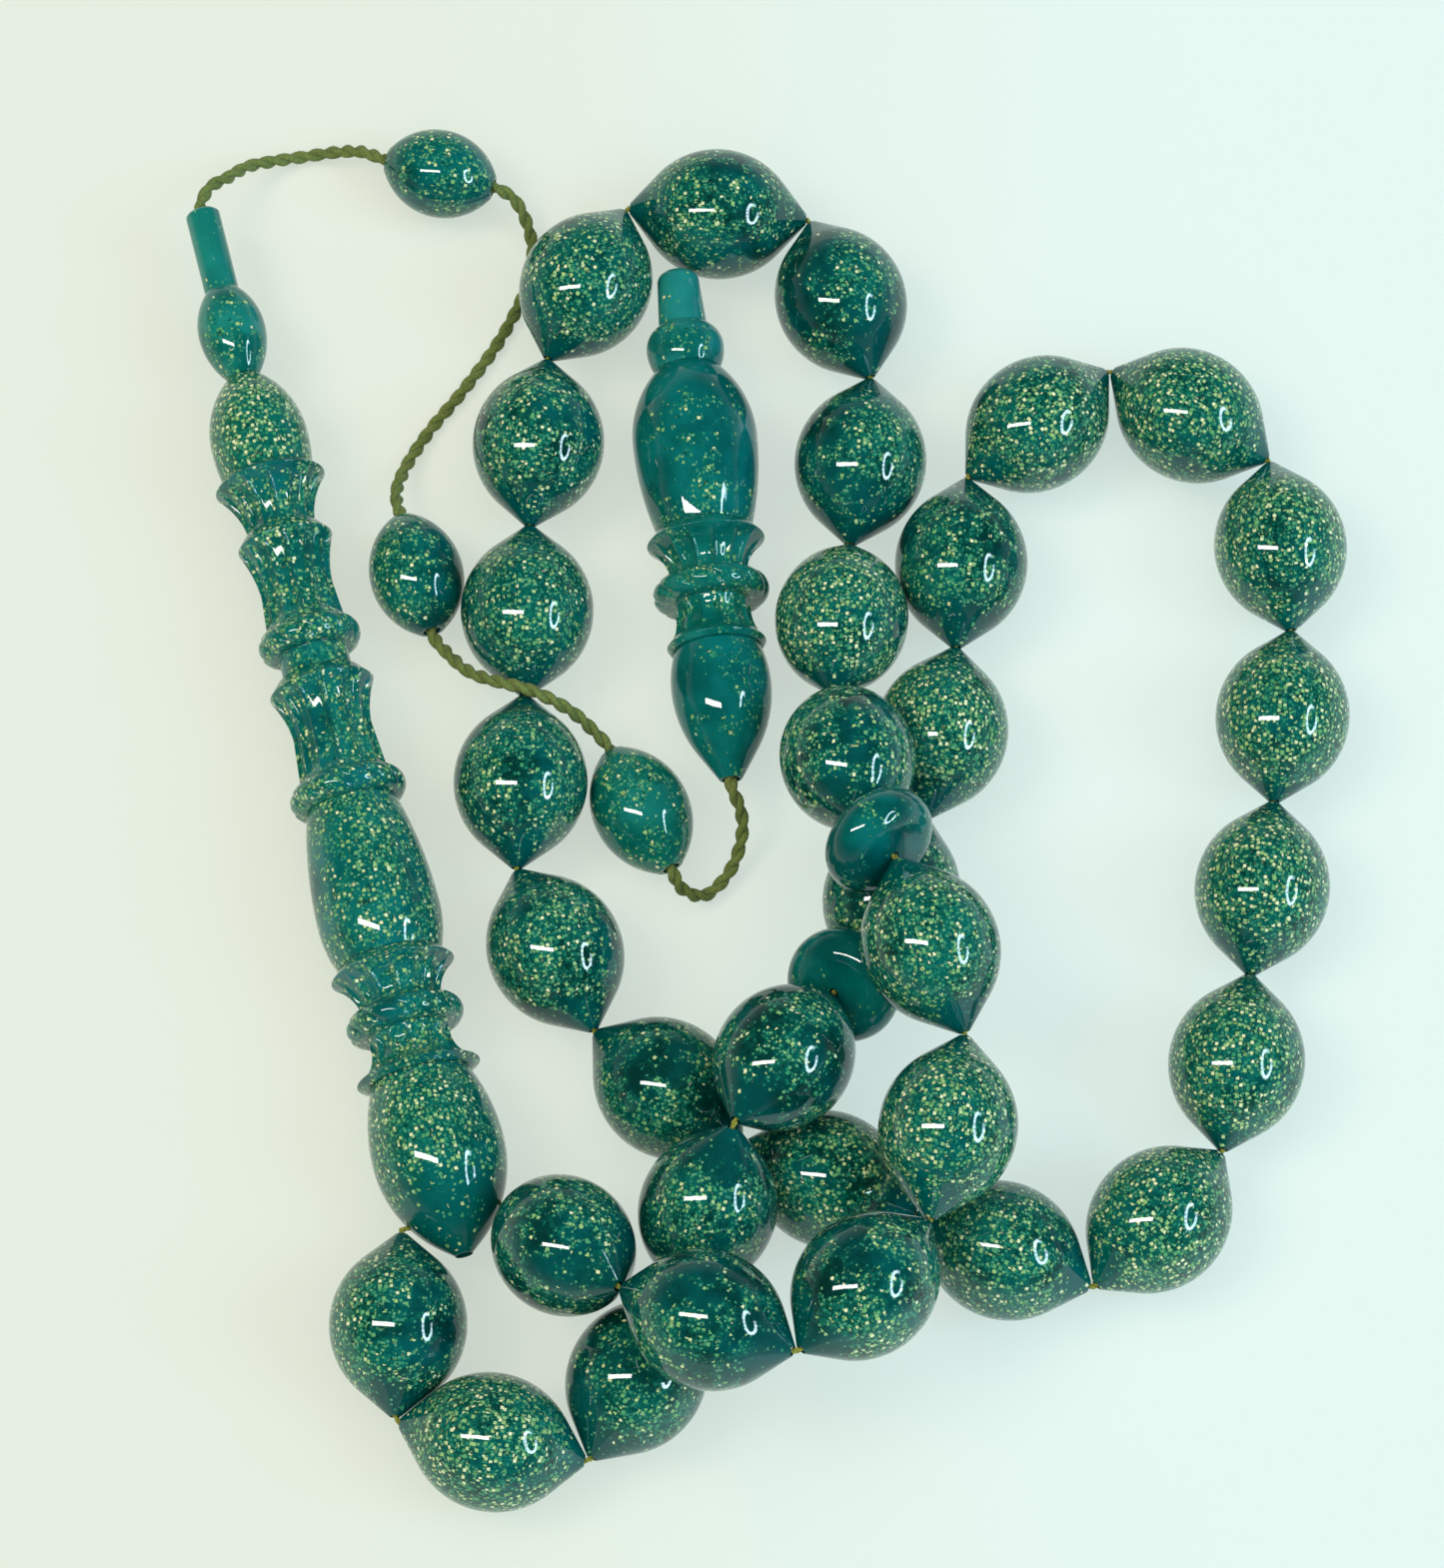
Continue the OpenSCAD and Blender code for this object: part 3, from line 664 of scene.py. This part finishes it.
BEAD_PROFILE = centred(mirrored(pointed(
    BEAD_LENGTH / 2, BEAD_RADIUS, BEAD_TIP_RADIUS, BEAD_CONE), BEAD_LENGTH), BEAD_LENGTH)
DISC_PROFILE = [(DISC_THICKNESS / 2 * math.sin(a),
                 DISC_RADIUS - DISC_THICKNESS / 2 * (1 - math.cos(a)))
                for a in np.linspace(-math.pi / 2, math.pi / 2, 25)]

QUIET_BEADS = (3, 4, 5, 6, 8, 18, 25, 26, 32, 33)
BRIGHT_BEADS = (2, 7, 9, 10, 11, 12, 13, 14, 15, 27, 30)
MATERIAL_OF = ({f"bead_{k:02d}": QUIET for k in QUIET_BEADS}
               | {f"bead_{k:02d}": BRIGHT for k in BRIGHT_BEADS})
for item in CHAIN:
    is_disc = item.startswith("disc_")
    turned(item, DISC_PROFILE if is_disc else BEAD_PROFILE, BEAD_BORE_RADIUS,
           CENTRE[item], AXIS[item], DISC if is_disc else MATERIAL_OF.get(item, SPECKLED),
           item)

for name, bead in SMALL_BEADS.items():
    length, diameter = bead["size"]
    profile = centred(mirrored(pointed(
        length / 2, diameter / 2, SMALL_TIP_RADIUS, bead["cone"]), length), length)
    turned(name, profile, CORD_BORE_RADIUS, bead["centre"], compass(bead["heading"]),
           LAST if name == "small_bead_3" else SMALL, name)

# ---- Head piece ---------------------------------------------------------------------------------

# Where each part of the head piece ends along the axis, then the radii that parts share
FOOT_END = 16.2
COLLAR_END = 27.3
MIDDLE_OLIVE_END = 41.9
LOWER_TUBE_END = 54.5
UPPER_TUBE_END = 74.1
UPPER_OLIVE_END = 84.2
SMALL_OLIVE_END = 92.8
TOP_TUBE_RADIUS = 1.55
TOP_CHAMFER = 0.3
FLANGE_RADIUS, UPPER_FLANGE_RADIUS = 5.5, 5.0
LOWER_FLANGE_RADIUS, INNER_FLANGE_RADIUS = 4.7, 4.3
ROPE_RING_RADIUS, SLIM_RING_RADIUS = 5.2, 4.6
WAIST_RADIUS, GROOVE_RADIUS = 3.6, 3.1
OLIVE_FOOT_RADIUS, OLIVE_TOP_RADIUS, NECK_RADIUS = 4.6, 4.05, 1.4
FLUTE_DEPTH, TWIST_DEPTH = 0.42, 0.42
UPPER_FLUTE_DEPTH, UPPER_TWIST_DEPTH = 0.4, 0.4

# The twisted rings, from and to
COLLAR_RING = (20.5, 22.9)
LOWER_RING = (MIDDLE_OLIVE_END, 44.5)
UPPER_RING = (56.7, 59.3)

FOOT_PROFILE = (pointed(9.5, BEAD_RADIUS - 0.1, 0.7, 50)
                + bulging((9.5, BEAD_RADIUS - 0.1), (FOOT_END, 4.35)))
COLLAR = (straight((FOOT_END, OLIVE_FOOT_RADIUS), (16.7, FLANGE_RADIUS))
          + flaring((19.4, WAIST_RADIUS), (16.7, FLANGE_RADIUS))
          + straight((19.4, WAIST_RADIUS), (COLLAR_RING[0], WAIST_RADIUS))
          + ring(*COLLAR_RING, 4.2, ROPE_RING_RADIUS)
          + flaring((COLLAR_RING[1], WAIST_RADIUS), (26.3, FLANGE_RADIUS))
          + straight((26.3, FLANGE_RADIUS), (COLLAR_END, OLIVE_FOOT_RADIUS)))
MIDDLE_OLIVE = olive((COLLAR_END, OLIVE_FOOT_RADIUS), (31.5, 5.45),
                     (MIDDLE_OLIVE_END, OLIVE_TOP_RADIUS))
LOWER_TUBE = (ring(*LOWER_RING, 4, ROPE_RING_RADIUS)
              + straight((LOWER_RING[1], 4), (49, WAIST_RADIUS))
              + flaring((49, WAIST_RADIUS), (53.3, LOWER_FLANGE_RADIUS))
              + straight((53.3, LOWER_FLANGE_RADIUS), (LOWER_TUBE_END, 3.7)))
UPPER_TUBE = (straight((LOWER_TUBE_END, GROOVE_RADIUS), (UPPER_RING[0], GROOVE_RADIUS))
              + ring(*UPPER_RING, WAIST_RADIUS, SLIM_RING_RADIUS)
              + straight((UPPER_RING[1], WAIST_RADIUS), (62.8, 3.3))
              + flaring((62.8, 3.3), (67.6, INNER_FLANGE_RADIUS))
              + straight((67.6, INNER_FLANGE_RADIUS), (68.6, 3.5))
              + flaring((68.6, GROOVE_RADIUS), (73.5, UPPER_FLANGE_RADIUS))
              + straight((73.5, UPPER_FLANGE_RADIUS), (UPPER_TUBE_END, 4.4)))
UPPER_OLIVE = olive((UPPER_TUBE_END, OLIVE_TOP_RADIUS), (77.7, 4.4),
                    (UPPER_OLIVE_END, NECK_RADIUS))
FINIAL_PROFILE = (olive((UPPER_OLIVE_END, NECK_RADIUS), (88.8, 3.05),
                        (SMALL_OLIVE_END, TOP_TUBE_RADIUS))
                  + straight((SMALL_OLIVE_END, TOP_TUBE_RADIUS),
                             (HEAD_LENGTH - TOP_CHAMFER, TOP_TUBE_RADIUS))
                  + straight((HEAD_LENGTH - TOP_CHAMFER, TOP_TUBE_RADIUS),
                             (HEAD_LENGTH, TOP_TUBE_RADIUS - TOP_CHAMFER)))

HEAD_PARTS = {
    "head_foot": dict(profile=FOOT_PROFILE, material=FOOT),
    "head_collar": dict(
        profile=COLLAR, material=TURNED, twists=[(*COLLAR_RING, TWIST_DEPTH)],
        flutes=[(17.0, 20.4, FLUTE_DEPTH), (23.0, 26.3, FLUTE_DEPTH)]),
    "head_middle_olive": dict(profile=MIDDLE_OLIVE, material=TURNED),
    "head_lower_tube": dict(
        profile=LOWER_TUBE, material=TURNED, twists=[(*LOWER_RING, TWIST_DEPTH)],
        flutes=[(44.6, 53.2, FLUTE_DEPTH)]),
    "head_upper_tube": dict(
        profile=UPPER_TUBE, material=TURNED, twists=[(*UPPER_RING, UPPER_TWIST_DEPTH)],
        flutes=[(59.4, 67.4, UPPER_FLUTE_DEPTH), (68.7, 73.4, UPPER_FLUTE_DEPTH)]),
    "head_upper_olive": dict(profile=UPPER_OLIVE, material=GLINTING),
    "head_finial": dict(profile=FINIAL_PROFILE, material=FINIAL),
}


def densified(profile, step=0.35):
    """Adds points so that flutes and grooves have rings enough to follow."""
    out = [profile[0]]
    for a, b in zip(profile, profile[1:]):
        count = max(1, int(math.dist(a, b) / step))
        out += [tuple(a[k] + (b[k] - a[k]) * i / count for k in (0, 1))
                for i in range(1, count + 1)]
    return out


def turned_assembly(parts, start, heading, body):
    """Turns each part of the head piece or the pendant on their common axis."""
    for name, part in parts.items():
        turned(name, densified(part["profile"]), part.get("bore", CORD_BORE_RADIUS), start,
               compass(heading), part["material"], body,
               part.get("flutes", ()), part.get("twists", ()),
               FLUTED_SEGMENTS if "flutes" in part else FINE_SEGMENTS)


turned_assembly(HEAD_PARTS, HEAD_START, HEAD_HEADING, "thread_and_head")

# ---- Pendant ------------------------------------------------------------------------------------

# The same for the pendant
TEARDROP_END = 12.2
PENDANT_COLLAR_END = 23.5
PENDANT_OLIVE_END = 39.2
BULGE_END = 43.5
PENDANT_LENGTH = 48.9
END_ROUNDING = 1
TEARDROP_RADIUS = 4.45
PENDANT_RIM_RADIUS, PENDANT_FLANGE_RADIUS = 4.45, 5.3
PENDANT_WAIST_RADIUS, PENDANT_NECK_RADIUS = 3.35, 3.4
PENDANT_RING = (16.5, 18.9)
PENDANT_FLUTE_DEPTH = 0.36

TEARDROP = (pointed(8.8, TEARDROP_RADIUS, 1, 32)
            + bulging((8.8, TEARDROP_RADIUS), (TEARDROP_END, 3.85)))
PENDANT_COLLAR = (straight((TEARDROP_END, 4.1), (12.7, PENDANT_RIM_RADIUS))
                  + flaring((15.5, PENDANT_WAIST_RADIUS), (12.7, PENDANT_RIM_RADIUS))
                  + straight((15.5, PENDANT_WAIST_RADIUS), (PENDANT_RING[0], PENDANT_WAIST_RADIUS))
                  + ring(*PENDANT_RING, 4, ROPE_RING_RADIUS)
                  + flaring((PENDANT_RING[1], PENDANT_NECK_RADIUS), (22.5, PENDANT_FLANGE_RADIUS))
                  + straight((22.5, PENDANT_FLANGE_RADIUS),
                             (PENDANT_COLLAR_END, PENDANT_RIM_RADIUS)))
PENDANT_OLIVE = olive((PENDANT_COLLAR_END, 4.2), (32.5, 5.6), (PENDANT_OLIVE_END, 2.9))
PENDANT_TIP = (olive((PENDANT_OLIVE_END, 2.9), (41.4, 3.5), (BULGE_END, 2.2))
               + straight((BULGE_END, 2.2), (PENDANT_LENGTH - END_ROUNDING, 1.9))
               + bulging((PENDANT_LENGTH - END_ROUNDING, 1.9), (PENDANT_LENGTH, 0.9)))

PENDANT_PARTS = {
    "pendant_teardrop": dict(profile=TEARDROP, material=PALE),
    "pendant_collar": dict(
        profile=PENDANT_COLLAR, material=FEW, twists=[(*PENDANT_RING, TWIST_DEPTH)],
        flutes=[(13.0, 16.4, PENDANT_FLUTE_DEPTH), (19.0, 22.5, PENDANT_FLUTE_DEPTH)]),
    "pendant_olive": dict(profile=PENDANT_OLIVE, material=PALE),
    "pendant_tip": dict(profile=PENDANT_TIP, material=TIP, bore=0),
}
turned_assembly(PENDANT_PARTS, PENDANT_START, PENDANT_HEADING, "pendant")

# ---- Table and light ----------------------------------------------------------------------------

# How much of the floor's paleness, where it is seen, doesn't depend on the light
SHADOW_LIFT = 0.66
# Painted light on the floor: over this half width the tint turns from warmer on the left to cooler
# on the right, and the boundary wanders by this much
PAINTED_LIGHT_HALF_WIDTH = 45.0
PAINTED_LIGHT_WANDER = 40.0


def table_material():
    """Pale floor, a little warmer on the left and cooler on the right. This tint is painted light:
    it stands in for the cool lamp's light falling more strongly on the right side.
    """
    n = Nodes("table")
    own = n.scaled(n.add("ShaderNodeTexCoord").outputs["Object"], 1 / MM)
    across = n.add("ShaderNodeSeparateXYZ", {"Vector": own}).outputs[0]
    patch = n.math("MULTIPLY", n.math("SUBTRACT", n.noise(own, 0.012, 2), 0.5), PAINTED_LIGHT_WANDER)
    # painted light: the floor's colour runs from warmer on the left to cooler on the right,
    # standing in for the cool light falling on the right side
    colour = n.mix(n.ease(n.math("ADD", across, patch), -PAINTED_LIGHT_HALF_WIDTH, PAINTED_LIGHT_HALF_WIDTH),
                   linear(230, 238, 225), linear(230, 248, 243))
    n.put(n.shader.inputs["Base Color"], colour)
    n.shader.inputs["Roughness"].default_value = 0.75
    n.shader.inputs["Specular IOR Level"].default_value = 0.0
    glow = n.add("ShaderNodeEmission", {"Color": colour, "Strength": 1.0}).outputs[0]
    rays = n.add("ShaderNodeLightPath").outputs
    seen = n.math("MAXIMUM", rays["Is Camera Ray"],
                  n.math("MAXIMUM", rays["Is Glossy Ray"], rays["Is Transmission Ray"]))
    blend = n.add("ShaderNodeMixShader")
    n.put(blend.inputs[0], n.math("MULTIPLY", seen, SHADOW_LIFT))
    n.put(blend.inputs[1], n.shader.outputs[0])
    n.put(blend.inputs[2], glow)
    surface = [node for node in n.tree.nodes if node.type == "OUTPUT_MATERIAL"][0]
    n.put(surface.inputs["Surface"], blend.outputs[0])
    return n.material


REACH = 3.0
floor_mesh = bpy.data.meshes.new("table")
floor_mesh.from_pydata([(-REACH, -REACH, 0), (REACH, -REACH, 0), (REACH, REACH, 0),
                        (-REACH, REACH, 0)], [], [(0, 1, 2, 3)])
floor_mesh.materials.append(table_material())
floor = bpy.data.objects.new("table", floor_mesh)
SCENE.collection.objects.link(floor)


def direction(right, up):
    """Direction of a lamp, in degrees to the right of and above the line to the camera."""
    a, b = math.radians(right), math.radians(up)
    return (math.cos(b) * (math.cos(a) * TO_CAMERA + math.sin(a) * Vector((1, 0, 0)))
            + math.sin(b) * CAMERA_UP).normalized()


def turn_to(obj, way, roll=0.0):
    """Points the object's -Z axis against a direction, with its X axis level in the picture."""
    level = CAMERA_UP.cross(way).normalized()
    turn = Matrix((level, way.cross(level), way)).transposed()
    obj.rotation_euler = (turn @ Matrix.Rotation(roll, 3, "Z")).to_euler()


def add_light(name, kind, colour):
    light = bpy.data.lights.new(name, kind)
    light.color = [c / max(colour) for c in colour]
    obj = bpy.data.objects.new(name, light)
    SCENE.collection.objects.link(obj)
    obj.visible_camera = False
    return obj


def soft_light(name, right, up, spread, colour):
    """Soft light from far away. Its colour is the share that it adds on a surface facing it."""
    obj = add_light(name, "SUN", colour)
    obj.data.energy = math.pi * max(colour)
    obj.data.angle = math.radians(spread)
    turn_to(obj, direction(right, up))
    obj.visible_glossy = False


def gloss_lamp(name, right, up, distance, width, height, radiance, colour, roll=0.0):
    """Rectangular lamp that only the polish shows."""
    obj = add_light(name, "AREA", colour)
    obj.data.shape = "RECTANGLE"
    obj.data.size, obj.data.size_y = width, height
    obj.data.energy = radiance * math.pi * width * height
    way = direction(right, up)
    obj.location = AIM + distance * way
    turn_to(obj, way, roll)
    obj.visible_diffuse = False


# The soft lights shape the resin and cast the shadows, the lamps are what the polish mirrors
soft_light("dome_light", right=0, up=8, spread=90, colour=(0.66, 0.62, 0.6))
soft_light("warm_light", right=-34, up=16, spread=24, colour=(0.26, 0.22, 0.15))
soft_light("cool_light", right=50, up=3, spread=30, colour=(0.14, 0.28, 0.38))
gloss_lamp("bar_lamp", right=-24, up=7, distance=0.6, width=0.4, height=0.055, radiance=24,
           colour=(1.0, 0.96, 0.9))

# A tall ring of lamps with an opening at its upper right. The ring's middle and half sizes are in
# degrees seen from the beads.
RING_LAMPS = 14
RING_RIGHT, RING_UP = 50, 2
RING_HALF_WIDTH, RING_HALF_HEIGHT = 8, 15
RING_START, RING_SWEEP = 80, 275
for k in range(RING_LAMPS):
    a = math.radians(RING_START + RING_SWEEP * k / (RING_LAMPS - 1))
    gloss_lamp(f"ring_lamp_{k:02d}", right=RING_RIGHT + RING_HALF_WIDTH * math.cos(a),
               up=RING_UP + RING_HALF_HEIGHT * math.sin(a),
               distance=0.7, width=0.11, height=0.05, radiance=10, colour=(0.62, 0.88, 1.0),
               roll=math.atan2(RING_HALF_HEIGHT * math.cos(a), -RING_HALF_WIDTH * math.sin(a)))

# The surroundings are bright near the horizon and dark overhead. SKY_FROM and SKY_TO are sines
# of the height above the horizon.
world = bpy.data.worlds.new("studio")
world.use_nodes = True
sky = world.node_tree
height = sky.nodes.new("ShaderNodeSeparateXYZ")
sky.links.new(sky.nodes.new("ShaderNodeTexCoord").outputs["Generated"], height.inputs[0])
fade = sky.nodes.new("ShaderNodeMapRange")
SKY_FROM, SKY_TO = 0.06, 0.4
HORIZON_STRENGTH, OVERHEAD_STRENGTH = 0.42, 0.04
for socket, v in zip(list(fade.inputs)[1:5],
                     (SKY_FROM, SKY_TO, HORIZON_STRENGTH, OVERHEAD_STRENGTH)):
    socket.default_value = v
sky.links.new(height.outputs[2], fade.inputs[0])
backdrop = sky.nodes["Background"]
backdrop.inputs["Color"].default_value = (0.9, 0.98, 0.95, 1)
sky.links.new(fade.outputs[0], backdrop.inputs["Strength"])
SCENE.world = world
SCENE.view_settings.view_transform = "Standard"
